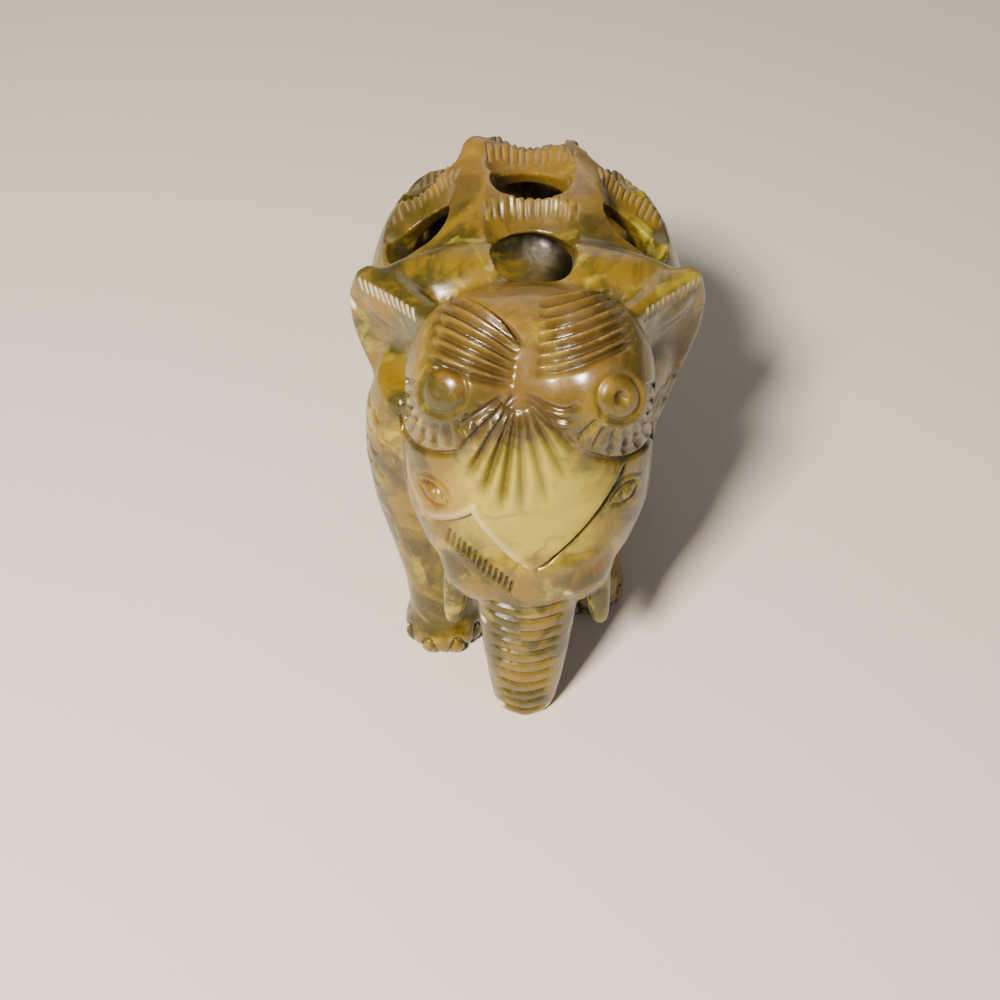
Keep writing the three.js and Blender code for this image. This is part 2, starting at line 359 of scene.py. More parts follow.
def ear_form(side):
    """A leaf swept back from the head, dished in front, its top edge reaching out to a corner."""
    sizes = bpy.context.scene.elephant_sizes
    reach_full = sizes.ear_reach / MM
    sweep = math.radians(47)
    out = Vector((side * math.cos(sweep), math.sin(sweep), 0))
    facing = Vector((side * math.sin(sweep), -math.cos(sweep), 0))
    deselect()
    bpy.ops.mesh.primitive_grid_add(x_subdivisions=28, y_subdivisions=40, size=2, location=(0, 0, 0))
    obj = bpy.context.object
    obj.name = "ear"
    for vertex in obj.data.vertices:
        u = (vertex.co.x + 1) / 2
        v = (1 - vertex.co.y) / 2
        flare = 0.86 + 0.14 * math.sin(math.pi * min(v / 0.5, 1))
        outline = flare * (1 - 0.55 * ease((v - 0.42) / 0.58))
        dish = 1.7 * math.sin(math.pi * u) * math.sin(math.pi * v)
        point = Vector((side * 10.2, -13.35, lerp(46.0, 22.5, v) - 1.5 * u))
        vertex.co = point + out * (reach_full * outline * u) - facing * dish
    bpy.ops.object.mode_set(mode="EDIT")
    bpy.ops.mesh.select_all(action="SELECT")
    if side < 0:
        bpy.ops.mesh.flip_normals()
    bpy.ops.object.mode_set(mode="OBJECT")
    apply_modifier(obj, "SOLIDIFY", thickness=sizes.ear_thick / MM, offset=-1.0)
    pick(obj)
    bpy.ops.object.mode_set(mode="EDIT")
    bpy.ops.mesh.select_all(action="SELECT")
    bpy.ops.mesh.normals_make_consistent(inside=False)
    bpy.ops.object.mode_set(mode="OBJECT")
    return obj


def seat(turn, along):
    """The place of a cell on the barrel: across, towards the rump, outwards, and its point."""
    radii = barrel_radii()
    turned, run = math.radians(turn), math.radians(along)
    unit = Vector((math.sin(run) * math.sin(turned), -math.cos(run), math.sin(run) * math.cos(turned)))
    point = Vector(unit[k] * radii[k] for k in range(3)) + BARREL_AT
    out = Vector(unit[k] / radii[k] for k in range(3)).normalized()
    across = Vector((math.cos(turned), 0, -math.sin(turned)))
    across = (across - out * across.dot(out)).normalized()
    rear = out.cross(across).normalized()
    place = Matrix((across, rear, out)).transposed().to_4x4()
    place.translation = point
    return place


def cells():
    """Each cell with its place, a little out of true as hand work is."""
    draw = random.Random(7)
    for column in COLUMNS:
        for row in range(column["count"]):
            place = seat(column["turn"], column["first"] + row * column["step"])
            slip = Matrix.Translation((draw.uniform(-0.25, 0.25), draw.uniform(-0.2, 0.2), 0))
            twist = Matrix.Rotation(math.radians(draw.uniform(-5, 5)), 4, "Z")
            yield column, row, place @ slip @ twist


def add_cell(bore, column, row, place):
    """Adds one hole to the bore, blunt towards the neck and arched behind, and the scoop after it."""
    half = column["width"] / 2
    length = column["length"]
    deselect()
    bpy.ops.mesh.primitive_cylinder_add(vertices=40, radius=1, depth=15, location=(0, 0, -2.5))
    drill = bpy.context.object
    bpy.ops.object.transform_apply(location=True, rotation=False, scale=False)
    for vertex in drill.data.vertices:
        x, y = vertex.co.x, vertex.co.y
        if y < 0:
            x = math.copysign(abs(x) ** 0.5, x) * lerp(0.9, 1.0, 1 + y)
        vertex.co = (x * half, y * length / 2, vertex.co.z)
    slant = DRILL_SLANT if column["scoops"] else 0
    drill.data.transform(place @ Matrix.Rotation(math.radians(slant), 4, "X"))
    combine(bore, drill, "UNION")
    if row < column["scoops"]:
        radii = (half + SCOOP["spread"], SCOOP["length"], SCOOP["depth"])
        gouge = ball("gouge", (0, 0, 0), radii, 48, 32)
        tilt = Matrix.Rotation(math.radians(SCOOP["tilt"]), 4, "X")
        gouge.data.transform(place @ Matrix.Translation((0, SCOOP["shift"], SCOOP["lift"])) @ tilt)
        combine(bore, gouge, "UNION")


# --------------------------------------------------------------------------------------------- engraving


def read_points(mesh):
    """The mesh's points and their normals, one row to a point."""
    points = np.empty(len(mesh.vertices) * 3)
    normals = np.empty(len(mesh.vertices) * 3)
    mesh.vertices.foreach_get("co", points)
    mesh.vertices.foreach_get("normal", normals)
    return points.reshape(-1, 3), normals.reshape(-1, 3)


def add_mask(mesh, name, values):
    """Keeps a value from 0 to 1 on each point for the material to read."""
    layer = mesh.attributes.new(name, "FLOAT", "POINT")
    layer.data.foreach_set("value", np.clip(values, 0, 1))


class Chisel:
    """Holds the stone's points and moves them along their normals."""

    def __init__(self, stone):
        self.mesh = stone.data
        self.points, self.normals = read_points(self.mesh)
        count = len(self.points)
        self.lift = np.zeros(count)
        self.cut = np.zeros(count)
        self.dust = np.zeros(count)

    def release(self):
        self.points += self.normals * (self.lift - self.cut)[:, None]
        self.mesh.vertices.foreach_set("co", self.points.ravel())
        self.mesh.update()
        add_mask(self.mesh, "engraved", self.cut / DEEP_CUT)
        add_mask(self.mesh, "dust", self.dust)


class Chart:
    """A drawing laid on the stone: points seen along one direction, as two flat coordinates."""

    def __init__(self, chisel, place, keep, facing=0.12):
        frame_axes = np.array(place.to_3x3())
        origin = np.array(place.translation)
        local = (chisel.points - origin) @ frame_axes
        seen = (chisel.normals @ frame_axes[:, 2] > facing) & keep(chisel.points, local)
        self.chisel = chisel
        self.index = np.nonzero(seen)[0]
        self.at = local[self.index][:, :2]

    def near(self, path, margin):
        low = path.min(axis=0) - margin
        high = path.max(axis=0) + margin
        inside = np.all((self.at > low) & (self.at < high), axis=1)
        rows = np.nonzero(inside)[0]
        at = self.at[rows]
        best = np.full(len(rows), 1e9)
        signed = np.zeros(len(rows))
        along = np.zeros(len(rows))
        lengths = np.linalg.norm(np.diff(path, axis=0), axis=1)
        total = max(lengths.sum(), 1e-9)
        start = 0.0
        for a, b, length in zip(path, path[1:], lengths):
            run = b - a
            t = np.clip(((at - a) @ run) / max(length * length, 1e-12), 0, 1)
            gap = at - a - t[:, None] * run
            d = np.hypot(gap[:, 0], gap[:, 1])
            closer = d < best
            best = np.where(closer, d, best)
            side = run[0] * (at[:, 1] - a[1]) - run[1] * (at[:, 0] - a[0])
            signed = np.where(closer, np.sign(side), signed)
            along = np.where(closer, (start + t * length) / total, along)
            start += length
        return self.index[rows], best, signed, along

    def groove(self, path, width, depth, dust=0.0, taper=0.18):
        """A stroke that thins out at both ends."""
        path = np.asarray(path, float)
        index, gap, _, along = self.near(path, width * 3)
        ends = np.clip(np.minimum(along, 1 - along) / taper, 0, 1) ** 0.6
        cut = np.exp(-((gap / width) ** 2)) * ends
        self.chisel.cut[index] = np.maximum(self.chisel.cut[index], depth * cut)
        self.chisel.dust[index] = np.maximum(self.chisel.dust[index], dust * cut)

    def bead(self, path, width, rise, dust=0.0, taper=0.18):
        """A raised line that thins out at both ends."""
        path = np.asarray(path, float)
        index, gap, _, along = self.near(path, width * 3)
        ends = np.clip(np.minimum(along, 1 - along) / taper, 0, 1) ** 0.6
        shape = np.exp(-((gap / width) ** 2)) * ends
        self.chisel.lift[index] += rise * shape
        self.chisel.dust[index] = np.maximum(self.chisel.dust[index], dust * shape)

    def step(self, path, rise, fade, taper=0.12):
        """A crisp ledge: the left of the path stands up, the right of it is cut down, and both fade."""
        path = np.asarray(path, float)
        index, gap, side, along = self.near(path, fade * 5)
        ends = np.clip(np.minimum(along, 1 - along) / taper, 0, 1)
        self.chisel.lift[index] += side * rise * np.exp(-gap / fade) * ends

    def boss(self, centre, radius, rise):
        gap = np.hypot(self.at[:, 0] - centre[0], self.at[:, 1] - centre[1]) / radius
        inside = gap < 1
        self.chisel.lift[self.index[inside]] += rise * (1 - gap[inside] ** 2) ** 1.5

    def ring(self, centre, radius, width, rise):
        gap = np.hypot(self.at[:, 0] - centre[0], self.at[:, 1] - centre[1])
        self.chisel.lift[self.index] += rise * np.exp(-(((gap - radius) / width) ** 2))


def bow(start, bend, end, steps=14):
    """A curve from start to end pulled towards bend."""
    t = np.linspace(0, 1, steps)[:, None]
    start, bend, end = (np.array(p, float) for p in (start, bend, end))
    return (1 - t) ** 2 * start + 2 * t * (1 - t) * bend + t * t * end


def ray(centre, angle, near, far):
    """A straight stroke from a centre, its angle in degrees from straight down, positive to the right."""
    turn = math.radians(angle)
    way = np.array((math.sin(turn), -math.cos(turn)))
    return np.array((np.array(centre) + way * near, np.array(centre) + way * far))


def look_along(out, origin):
    """The place of a drawing seen against a direction, its second axis pointing up the stone."""
    across = Vector((0, 0, 1)).cross(out).normalized()
    place = Matrix((across, out.cross(across), out)).transposed().to_4x4()
    place.translation = origin
    return place


def brow_chart(chisel):
    """The head as it is seen from in front and above, across the slope of the brow."""
    tilt = math.radians(50)
    across = Vector((1, 0, 0))
    up = Vector((0, math.sin(tilt), math.cos(tilt)))
    out = Vector((0, -math.cos(tilt), math.sin(tilt)))
    place = Matrix((across, up, out)).transposed().to_4x4()

    def head_only(points, local):
        front = np.where(points[:, 2] > 36.0, -8.5, -14.5)
        return (points[:, 1] < front) & (np.abs(points[:, 0]) < 13.2) & (points[:, 2] > 17.0)

    return Chart(chisel, place, head_only)


def engrave_brow(chisel):
    """Two feathered brows, a rosette on each temple, and a fan down the middle of the face."""
    chart = brow_chart(chisel)
    for k in range(7):
        start = (0.3 + 0.07 * k, 12.9 + 1.07 * k)
        bend = (4.6, 12.9 + 1.17 * k)
        chart.groove(bow(start, bend, (9.6 - 0.25 * k, 16.2 + 1.0 * k)), 0.34, 0.52)
        rib = bow((0.8, start[1] + 0.55), (4.6, bend[1] + 0.6), (9.0 - 0.2 * k, 16.6 + 1.0 * k))
        chart.bead(rib, 0.34, 0.24)
    for k in range(6):
        start = (-1.7 + 0.12 * k, 11.9 + 0.7 * k)
        end = (-9.6 + 0.2 * k, 14.6 + 1.25 * k)
        bend = (-5.4 + 0.45 * k, 12.0 + 1.15 * k)
        chart.groove(bow(start, bend, end), 0.34, 0.52)
        chart.bead(bow(start, bend, end) + np.array((-0.1, 0.55)), 0.34, 0.24)
    crest = bow((-8.3, 21.2), (-3.0, 19.6), (-0.9, 15.2))
    chart.groove(crest, 0.26, 0.7)
    chart.step(crest[::-1], 0.2, 0.8)
    for side, rosette in ((-1, (-7.9, 11.4)), (1, (7.7, 10.9))):
        chart.boss(rosette, 5.2, 0.55)
        chart.ring(rosette, 1.95, 0.28, -0.3)
        chart.boss(rosette, 1.8, 0.25)
        chart.boss(rosette, 0.75, -0.7 if side > 0 else -0.25)
        for k in range(9):
            angle = side * (-42 + 19 * k)
            chart.groove(ray(rosette, angle, 2.7, 5.2), 0.27, 0.42)
        brim = [ray(rosette, side * angle, 5.6, 5.7)[0] for angle in range(-30, 96, 9)]
        chart.groove(brim, 0.24, 0.5)
    heart = (-1.2, 11.6)
    angles = (-58, -44, -31, -19, -8, 3, 16, 30, 44)
    for k, angle in enumerate(angles):
        reach = 11.6 - 0.03 * abs(angle) ** 1.25
        chart.groove(ray(heart, angle, 1.4, reach), 0.36, 0.5 if angle < 0 else 0.3)
        if k:
            middle = (angle + angles[k - 1]) / 2
            chart.bead(ray(heart, middle, 2.0, reach - 0.4), 0.5, 0.4 if angle < 4 else 0.22)
    for side in (-1, 1):
        for k in range(3):
            start = (side * 0.5 - 0.9, 11.2 - 0.5 * k)
            end = (side * (4.6 - 0.4 * k) - 0.4, 10.4 - 1.1 * k)
            chart.groove(bow(start, (side * 3.2, 8.4 - 0.9 * k), end), 0.26, 0.36)
    right_edge = bow((9.4, 5.4), (6.6, -1.4), (0.5, -5.7), 20)
    lobe = bow((-11.2, 0.2), (-8.0, -0.9), (-5.6, 0.5), 8)
    flank = bow((-5.4, 0.4), (-3.8, -2.6), (0.4, -5.7), 12)
    left_edge = np.vstack((lobe, flank))
    chart.step(right_edge[::-1], 0.3, 1.4)
    chart.groove(right_edge, 0.2, 0.6)
    chart.step(left_edge, 0.4, 1.1)
    chart.bead(left_edge + np.array((0.1, 0.45)), 0.34, 0.26, dust=0.25)
    for k in range(13):
        t = k / 12
        x, y = lerp(-8.0, -1.6, t), lerp(-1.3, -6.6, t)
        chart.groove(((x, y), (x - 0.35, y - 1.5)), 0.18, 0.36)


def engrave_eyes(chisel):
    for side in (-1, 1):
        out = Vector((side * math.sin(math.radians(52)), -math.cos(math.radians(52)), 0.12)).normalized()
        place = look_along(out, (0, -17, 31.2))

        def one_side(points, local, side=side):
            x, y, z = points.T
            return (x * side > 3) & (z > 26) & (z < 40) & (y < -12)

        chart = Chart(chisel, place, one_side, 0.3)
        chart.boss((0, 0), 1.35, 0.35)
        upper = bow((-2.2, -0.2), (0, 2.2), (2.2, -0.2))
        lower = bow((-2.2, -0.2), (0, -1.9), (2.2, -0.2))
        chart.groove(upper, 0.22, 0.32)
        chart.groove(lower, 0.22, 0.28)
        chart.groove(bow((-2.6, 0.5), (0, 3.4), (2.6, 0.5)), 0.24, 0.2)
        chart.ring((0, 0), 0.72, 0.16, -0.16)


def engrave_trunk(chisel):
    sizes = bpy.context.scene.elephant_sizes
    place = Matrix(((1, 0, 0), (0, 0, 1), (0, -1, 0))).transposed().to_4x4()

    def front(points, local):
        return (points[:, 1] < NOSE + 5.2) & (points[:, 2] < 24) & (np.abs(points[:, 0]) < 6.4)

    chart = Chart(chisel, place, front, 0.1)
    draw = random.Random(3)
    for k in range(sizes.rings):
        z = lerp(20.3, 1.6, k / (sizes.rings - 1)) + draw.uniform(-0.15, 0.15)
        half = lerp(4.6, 2.6, k / (sizes.rings - 1))
        left = (-half, z + draw.uniform(-0.1, 0.5))
        right = (half * 0.92, z + draw.uniform(0.0, 0.5))
        chart.groove(bow(left, (0, z - 0.55), right), 0.27, lerp(0.52, 0.36, k / sizes.rings))


def engrave_scales(chisel):
    """Short strokes side by side on the rim of every scooped scale."""
    pitch = bpy.context.scene.elephant_sizes.hatch_pitch / MM
    draw = random.Random(11)
    for column, row, place in cells():
        if row >= column["scoops"]:
            continue
        half = column["width"] / 2 + 0.6
        here = seat(column["turn"], column["first"] + row * column["step"]).translation
        after = seat(column["turn"], column["first"] + (row + 1) * column["step"]).translation
        crest = (after - here).length - column["length"] / 2 + 0.3

        def on_cell(points, local):
            return np.abs(local[:, 2]) < 4.0

        chart = Chart(chisel, place, on_cell, 0.05)
        strokes = int(2 * half / pitch)
        for k in range(strokes):
            a = lerp(-1, 1, k / (strokes - 1)) * half + draw.uniform(-0.1, 0.1)
            rim = crest - 1.3 * (a / half) ** 2
            foot = rim - draw.uniform(2.0, 2.8)
            chart.groove(((a, rim + 0.3), (a * 0.93, foot)), 0.17, draw.uniform(0.16, 0.28), dust=0.12)


def engrave_ears(chisel):
    """White strokes across the folded rim of each ear."""
    for side in (-1, 1):
        sweep = math.radians(47)
        out = Vector((side * math.sin(sweep), -math.cos(sweep), 0.35)).normalized()
        place = look_along(out, (side * 14.0, -9.5, 38))

        def ear_only(points, local, side=side):
            return (points[:, 0] * side > 10.0) & (points[:, 2] > 24) & (np.abs(local[:, 2]) < 6)

        chart = Chart(chisel, place, ear_only, 0.1)
        for k in range(11):
            a = lerp(4.9, -3.4, k / 10)
            top = 7.5 - 0.13 * (a + 5.4)
            chart.groove(((side * a, top), (side * (a - 0.4), top - 1.5)), 0.18, 0.26, dust=0.9)


def engrave_shoulders(chisel):
    """Faint overlapping scales down each shoulder."""
    for side in (-1, 1):
        out = Vector((side * 0.84, -0.40, 0.36)).normalized()
        place = look_along(out, (side * 14.0, -9.0, 27.0))

        def shoulder_only(points, local, side=side):
            x, y, z = points.T
            return (x * side > 11.5) & (z < 36) & (y > -16) & (local[:, 2] > -5)

        chart = Chart(chisel, place, shoulder_only, 0.25)
        for row in range(5):
            for k in range(4):
                a, b = (k - 1.5 + 0.5 * (row % 2)) * 2.6, 4.0 - 2.3 * row
                chart.groove(bow((a - 1.2, b + 0.7), (a, b - 1.5), (a + 1.2, b + 0.7)), 0.2, 0.17)


def engrave_feet(chisel):
    """Toenails as small arches along the front of each foot."""
    for plan in LEGS:
        x, y = plan["foot"]
        for turn in (-58, -20, 20, 58):
            out = Vector((math.sin(math.radians(turn)), -math.cos(math.radians(turn)), 0))
            across = Vector((0, 0, 1)).cross(out).normalized()
            place = Matrix((across, Vector((0, 0, 1)), out)).transposed().to_4x4()
            place.translation = (x, y, 0)

            def foot_only(points, local, x=x, y=y):
                return (np.hypot(points[:, 0] - x, points[:, 1] - y) < 6.4) & (points[:, 2] < 4.5)

            chart = Chart(chisel, place, foot_only, 0.3)
            chart.groove(bow((-1.35, 0.1), (0, 5.4), (1.35, 0.1)), 0.2, 0.42, taper=0.02)
            chart.boss((0, 0.9), 1.25, 0.3)


# ---------------------------------------------------------------------------------------------- materials


def new_group(name, inputs, outputs):
    group = bpy.data.node_groups.new(name, "ShaderNodeTree")
    for socket, kind, default in inputs:
        made = group.interface.new_socket(name=socket, in_out="INPUT", socket_type=kind)
        made.default_value = default
    for socket, kind in outputs:
        group.interface.new_socket(name=socket, in_out="OUTPUT", socket_type=kind)
    start = group.nodes.new("NodeGroupInput")
    end = group.nodes.new("NodeGroupOutput")
    return group, start, end


def add(tree, kind, **values):
    node = tree.nodes.new(kind)
    for key, value in values.items():
        setattr(node, key, value)
    return node


def noise(tree, vector, scale, detail=3.0, rough=0.55, warp=0.0):
    node = add(tree, "ShaderNodeTexNoise")
    node.inputs["Scale"].default_value = scale
    node.inputs["Detail"].default_value = detail
    node.inputs["Roughness"].default_value = rough
    node.inputs["Distortion"].default_value = warp
    tree.links.new(vector, node.inputs["Vector"])
    return node.outputs["Fac"]


def remap(tree, value, low, high, to_low=0.0, to_high=1.0):
    node = add(tree, "ShaderNodeMapRange", interpolation_type="SMOOTHSTEP")
    for name, number in (("From Min", low), ("From Max", high), ("To Min", to_low), ("To Max", to_high)):
        node.inputs[name].default_value = number
    tree.links.new(value, node.inputs["Value"])
    return node.outputs["Result"]


def maths(tree, operation, a, b):
    node = add(tree, "ShaderNodeMath", operation=operation)
    for slot, value in enumerate((a, b)):
        if isinstance(value, (int, float)):
            node.inputs[slot].default_value = value
        else:
            tree.links.new(value, node.inputs[slot])
    return node.outputs[0]


def blend_colour(tree, factor, a, b, mode="MIX"):
    node = add(tree, "ShaderNodeMix", data_type="RGBA", blend_type=mode)
    for socket, value in ((0, factor), (6, a), (7, b)):
        if isinstance(value, (int, float, tuple)):
            node.inputs[socket].default_value = value
        else:
            tree.links.new(value, node.inputs[socket])
    return node.outputs[2]


def patch_group():
    """A cloudy patch about a point of the stone, its edge broken up by noise."""
    inputs = (
        ("Vector", "NodeSocketVector", (0, 0, 0)),
        ("Centre", "NodeSocketVector", (0, 0, 0)),
        ("Radius", "NodeSocketFloat", 0.004),
        ("Raggedness", "NodeSocketFloat", 0.5),
    )
    group, start, end = new_group("Stone Patch", inputs, (("Mask", "NodeSocketFloat"),))
    away = add(group, "ShaderNodeVectorMath", operation="DISTANCE")
    group.links.new(start.outputs["Vector"], away.inputs[0])
    group.links.new(start.outputs["Centre"], away.inputs[1])
    share = maths(group, "DIVIDE", away.outputs["Value"], start.outputs["Radius"])
    cloud = noise(group, start.outputs["Vector"], 210.0, 4.0, 0.6, 0.6)
    torn = maths(group, "MULTIPLY", maths(group, "SUBTRACT", cloud, 0.5), start.outputs["Raggedness"])
    torn = maths(group, "MULTIPLY", torn, 3.0)
    mask = remap(group, maths(group, "ADD", share, torn), 0.55, 1.25, 1.0, 0.0)
    group.links.new(mask, end.inputs["Mask"])
    return group


def vein_group():
    """Thin wandering veins where a warped noise crosses its middle value."""
    inputs = (("Vector", "NodeSocketVector", (0, 0, 0)), ("Scale", "NodeSocketFloat", 100.0))
    group, start, end = new_group("Stone Veins", inputs, (("Mask", "NodeSocketFloat"),))
    node = add(group, "ShaderNodeTexNoise")
    node.inputs["Detail"].default_value = 5.0
    node.inputs["Distortion"].default_value = 1.6
    group.links.new(start.outputs["Vector"], node.inputs["Vector"])
    group.links.new(start.outputs["Scale"], node.inputs["Scale"])
    line = maths(group, "ABSOLUTE", maths(group, "SUBTRACT", node.outputs["Fac"], 0.5), 0.0)
    group.links.new(remap(group, line, 0.0, 0.035, 1.0, 0.0), end.inputs["Mask"])
    return group


def place_group(tree, group, vector, **values):
    node = add(tree, "ShaderNodeGroup", node_tree=group)
    tree.links.new(vector, node.inputs["Vector"])
    for key, value in values.items():
        node.inputs[key].default_value = value
    return node.outputs["Mask"]


def soapstone():
    """Polished, waxed soapstone: honey and olive clouds, rose-brown crowns, amber spots and thin veins,
    darker engraved strokes and painted shade in the hollows.
    """
    colours = bpy.context.scene.elephant_colours
    honey, olive, rose = tuple(colours.honey), tuple(colours.olive), tuple(colours.rose)
    amber, vein_and_shade_tint, chip, lime = (
        tuple(tint) for tint in (colours.amber, colours.vein_and_shade_tint, colours.chip, colours.lime))
    material = bpy.data.materials.new("Polished Soapstone")
    material.use_nodes = True
    tree = material.node_tree
    shader = tree.nodes["Principled BSDF"]
    where = add(tree, "ShaderNodeTexCoord").outputs["Object"]
    patch, veins = patch_group(), vein_group()

    clouds = remap(tree, noise(tree, where, 110.0, 6.0, 0.6, 1.1), 0.43, 0.58)
    colour = blend_colour(tree, clouds, olive, honey)
    pale = remap(tree, noise(tree, where, 170.0, 4.0, 0.6, 0.9), 0.54, 0.68)
    glow = place_group(tree, patch, where, Centre=(0.0, -0.0265, 0.0340), Radius=0.0080, Raggedness=0.5)
    pale = maths(tree, "MAXIMUM", maths(tree, "MULTIPLY", pale, 0.5), maths(tree, "MULTIPLY", glow, 0.7))
    colour = blend_colour(tree, pale, colour, lime)
    brow = place_group(tree, patch, where, Centre=(0.0, -0.018, 0.049), Radius=0.0105, Raggedness=0.35)
    back = place_group(tree, patch, where, Centre=(0.0, 0.014, 0.049), Radius=0.0150, Raggedness=0.45)
    crowns = maths(tree, "MAXIMUM", brow, back)
    colour = blend_colour(tree, maths(tree, "MULTIPLY", crowns, 0.55), colour, rose)
    stains = remap(tree, noise(tree, where, 130.0, 4.0, 0.6, 0.3), 0.58, 0.72)
    colour = blend_colour(tree, maths(tree, "MULTIPLY", stains, 0.6), colour, amber)
    for centre, radius in (((-0.0095, -0.0245, 0.0330), 0.0034), ((-0.0170, -0.0080, 0.0310), 0.0035)):
        spot = place_group(tree, patch, where, Centre=centre, Radius=radius, Raggedness=0.9)
        colour = blend_colour(tree, maths(tree, "MULTIPLY", spot, 0.5), colour, amber)
    lines = maths(tree, "MULTIPLY", place_group(tree, veins, where, Scale=70.0), 0.45)
    lines = maths(tree, "MULTIPLY", lines, remap(tree, noise(tree, where, 60.0, 2.0), 0.45, 0.62))
    colour = blend_colour(tree, lines, colour, vein_and_shade_tint)

    engraved = add(tree, "ShaderNodeAttribute", attribute_name="engraved").outputs["Fac"]
    edge = add(tree, "ShaderNodeAttribute", attribute_name="edge").outputs["Fac"]
    dust = add(tree, "ShaderNodeAttribute", attribute_name="dust").outputs["Fac"]
    # The next mask marks points that sit below their neighbours: it is painted shade in hollows and
    # creases.
    painted_recess_shade = add(tree, "ShaderNodeAttribute", attribute_name="painted_recess_shade").outputs["Fac"]
    engraved = maths(tree, "MULTIPLY", engraved, 0.7)
    painted_recess_shade = maths(tree, "MULTIPLY", painted_recess_shade, 0.6)
    # Engraved strokes are made darker and the hollows get painted shade, both mixed towards the vein
    # colour.
    groove_dark_and_painted_shade = maths(tree, "MAXIMUM", engraved, painted_recess_shade)
    colour = blend_colour(tree, groove_dark_and_painted_shade, colour, vein_and_shade_tint)
    broken = remap(tree, noise(tree, where, 620.0, 4.0, 0.65), 0.52, 0.66)
    bruised = maths(tree, "MULTIPLY", maths(tree, "MULTIPLY", edge, broken), 0.45)
    bruised = maths(tree, "MAXIMUM", bruised, dust)
    for centre, radius in CHIPS:
        nick = place_group(tree, patch, where, Centre=centre, Radius=radius, Raggedness=0.7)
        bruised = maths(tree, "MAXIMUM", bruised, nick)
    colour = blend_colour(tree, bruised, colour, chip)
    tree.links.new(colour, shader.inputs["Base Color"])

    gloss = remap(tree, noise(tree, where, 340.0, 4.0, 0.6), 0.3, 0.75, 0.24, 0.42)
    rough = maths(tree, "ADD", gloss, maths(tree, "MULTIPLY", bruised, 0.35))
    tree.links.new(rough, shader.inputs["Roughness"])

    grit = noise(tree, where, 1900.0, 3.0, 0.6)
    swell = noise(tree, where, 260.0, 2.0, 0.5)
    height = maths(tree, "ADD", maths(tree, "MULTIPLY", grit, 0.10), maths(tree, "MULTIPLY", swell, 0.9))
    bump = add(tree, "ShaderNodeBump")
    bump.inputs["Strength"].default_value = 0.5
    bump.inputs["Distance"].default_value = 0.0003
    tree.links.new(height, bump.inputs["Height"])
    tree.links.new(bump.outputs["Normal"], shader.inputs["Normal"])

    shader.inputs["IOR"].default_value = 1.48
    shader.inputs["Coat Weight"].default_value = 0.25
    shader.inputs["Coat Roughness"].default_value = 0.13
    shader.inputs["Subsurface Weight"].default_value = 0.22
    shader.inputs["Subsurface Radius"].default_value = (0.8, 0.6, 0.25)
    shader.inputs["Subsurface Scale"].default_value = 0.0013
    return material


def edge_mask(mesh):
    """How far each point stands out from its neighbours, so that edges can show their wear and hollows can
    take painted shade.
    """
    points, normals = read_points(mesh)
    count = len(points)
    ends = np.empty(len(mesh.edges) * 2, dtype=np.int64)
    mesh.edges.foreach_get("vertices", ends)
    ends = ends.reshape(-1, 2)
    total = np.zeros((count, 3))
    degree = np.zeros(count)
    for a, b in ((0, 1), (1, 0)):
        for axis in range(3):
            total[:, axis] += np.bincount(ends[:, a], points[ends[:, b], axis], count)
        degree += np.bincount(ends[:, a], minlength=count)
    away = points - total / np.maximum(degree, 1)[:, None]
    proud = (away * normals).sum(axis=1)
    for _ in range(2):
        near = np.bincount(ends[:, 0], proud[ends[:, 1]], count)
        near += np.bincount(ends[:, 1], proud[ends[:, 0]], count)
        proud = 0.5 * proud + 0.5 * near / np.maximum(degree, 1)
    add_mask(mesh, "edge", (proud - 0.02) / 0.04)
    # Points sunk below their neighbours get a mask for painted shade.
    add_mask(mesh, "painted_recess_shade", (-proud - 0.006) / 0.035)


# ---------------------------------------------------------------------------------------------- operators


def the_stone():
    stone = bpy.data.objects.get("elephant")
    if stone is None:
        raise RuntimeError("rough the block first")
    return stone


class ELEPHANT_OT_rough(bpy.types.Operator):
    """Rough the block into body, head, trunk and limbs, and round their joins"""

    bl_idname = "elephant.rough"
    bl_label = "Rough the block"

    def execute(self, context):
        sizes = context.scene.elephant_sizes
        stone = ball("elephant", BARREL_AT, barrel_radii(), 96, 64)
        lumps = [ball("rump", (0, 18.95, 26.0), (9.5, 10.6, 9.5)), head_form(), trunk_form()]
        lumps += [leg_form(plan) for plan in LEGS]
        lumps.append(ball("neck", (0, -6.35, 36.5), (12.2, 8.2, 9.9)))
        lumps.append(ball("yoke", (0, -5.45, 41.8), (16.8, 5.8, 5.6)))
        lumps.append(ball("knob", (-5.5, 14.5, 46.1), (1.7, 2.2, 1.2), 24, 16))
        for side in (-1, 1):
            lumps.append(ball("brow", (side * 5.0, -17.85, 41.8), (6.9, 8.0, 8.2)))
            lumps.append(ball("cheek", (side * 4.4, -24.05, 22.8), (4.7, 5.2, 5.4)))
            lumps.append(ear_form(side))
        for lump in lumps:
            combine(stone, lump, "UNION")
        reface(stone, 0.5)
        apply_modifier(stone, "SMOOTH", factor=0.5, iterations=sizes.blend)
        apply_modifier(stone, "DISPLACE", strength=0.14, mid_level=0.0)
        return {"FINISHED"}


class ELEPHANT_OT_hollow(bpy.types.Operator):
    """Hollow the body and pierce the back in staggered scales"""

    bl_idname = "elephant.hollow"
    bl_label = "Hollow and pierce"

    def execute(self, context):
        stone = the_stone()
        wall = context.scene.elephant_sizes.wall / MM
        radii = [radius - wall for radius in barrel_radii()]
        bore = ball("hollow", BARREL_AT, radii)
        for column, row, place in cells():
            add_cell(bore, column, row, place)
        combine(stone, bore, "DIFFERENCE")
        return {"FINISHED"}


